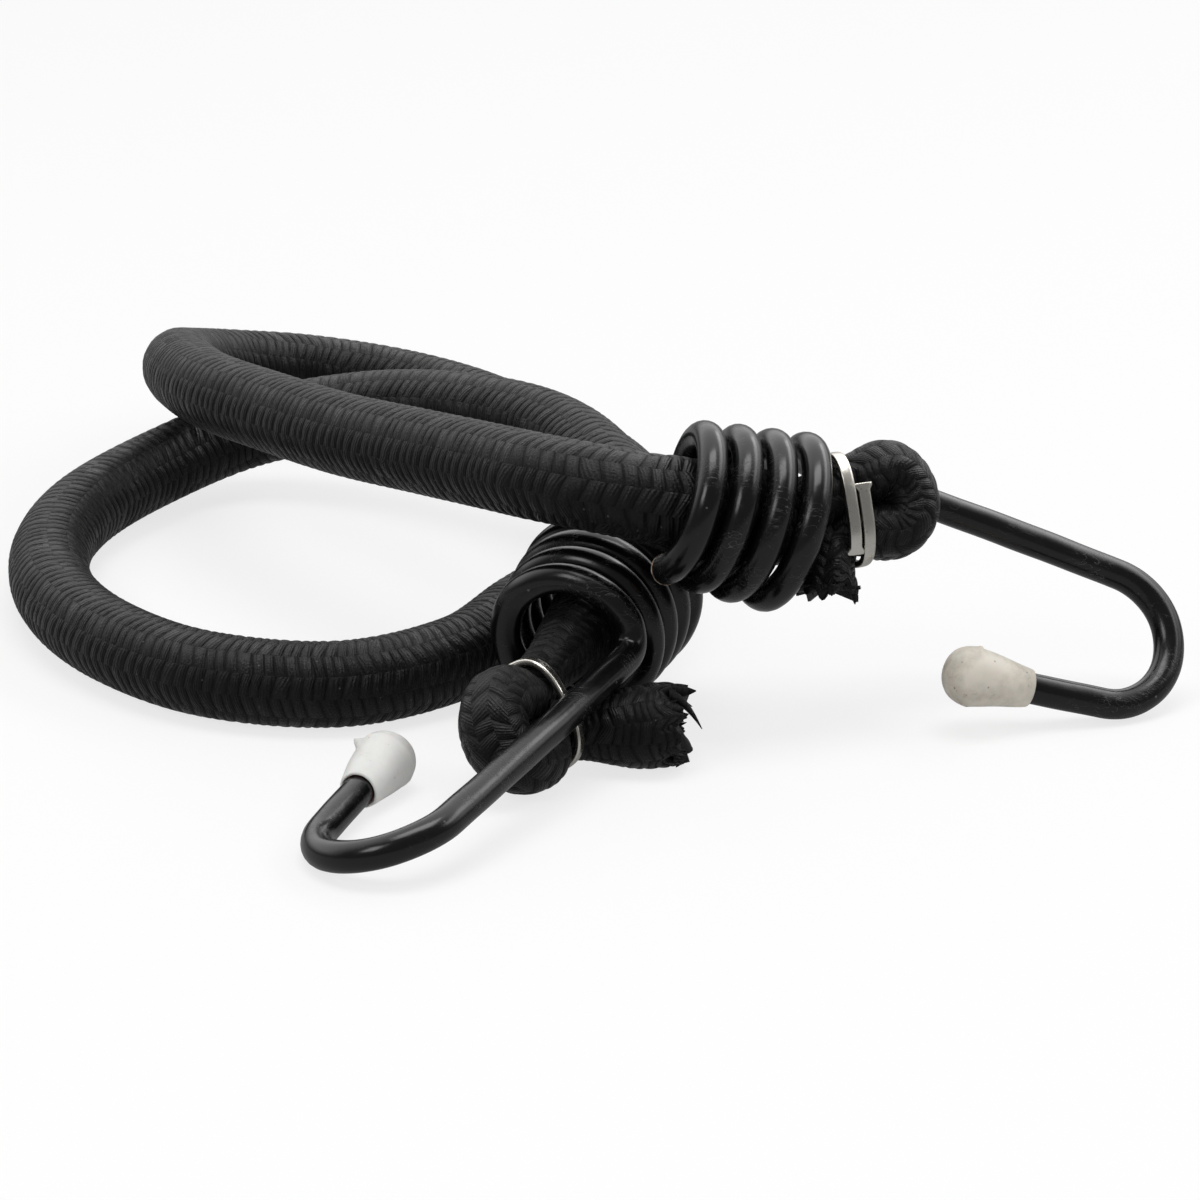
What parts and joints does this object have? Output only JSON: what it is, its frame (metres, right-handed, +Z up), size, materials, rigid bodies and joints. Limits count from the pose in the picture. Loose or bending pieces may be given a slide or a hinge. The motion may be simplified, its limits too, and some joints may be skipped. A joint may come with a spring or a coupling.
{
  "type": "bungee cord",
  "caption": "Elastic shock cord with a braided sheath over a rubber core, a coiled wire hook at each end, a soft cap on each hook tip and a clamped fold that holds the hook.",
  "frame": {"origin": "centre of the base of the two hooks and the folded ends, on the surface that the cord lies on", "axes": "+X along the longer way across the two hooks, +Y towards the cord's loops, +Z up"},
  "size_m": [0.1424, 0.1737, 0.0372],
  "materials": {
    "sheath": "tight black polyester braid with a satin sheen",
    "rubber_core": "matt natural rubber strands",
    "coated_wire": "semi-gloss black plastic coating on steel wire",
    "right_cap": "soft cream vinyl, slightly soiled",
    "left_cap": "soft white vinyl",
    "ring_steel": "zinc-plated flat wire"
  },
  "bodies": {
    "cord": {"cord_sheath": "sheath", "cord_core": "rubber_core", "right_fold_sheath": "sheath", "right_fold_core": "rubber_core", "right_ring": "ring_steel", "left_fold_sheath": "sheath", "left_fold_core": "rubber_core", "left_ring": "ring_steel"},
    "right_hook_body": {"right_hook": "coated_wire", "right_cap": "right_cap"},
    "left_hook_body": {"left_hook": "coated_wire", "left_cap": "left_cap"}
  },
  "joints": [
    {"name": "right_hook_swivel", "type": "hinge", "parent": "cord", "child": "right_hook_body", "pos_m": [0.0041, 0.0172, 0.02435], "axis": [0.9371, 0.2284, -0.2639], "range_deg": [-115, 0]},
    {"name": "left_hook_swivel", "type": "hinge", "parent": "cord", "child": "left_hook_body", "pos_m": [-0.0218, 0.0132, 0.0108], "axis": [-0.3171, -0.9421, -0.1089], "range_deg": [0, 45]}
  ]
}
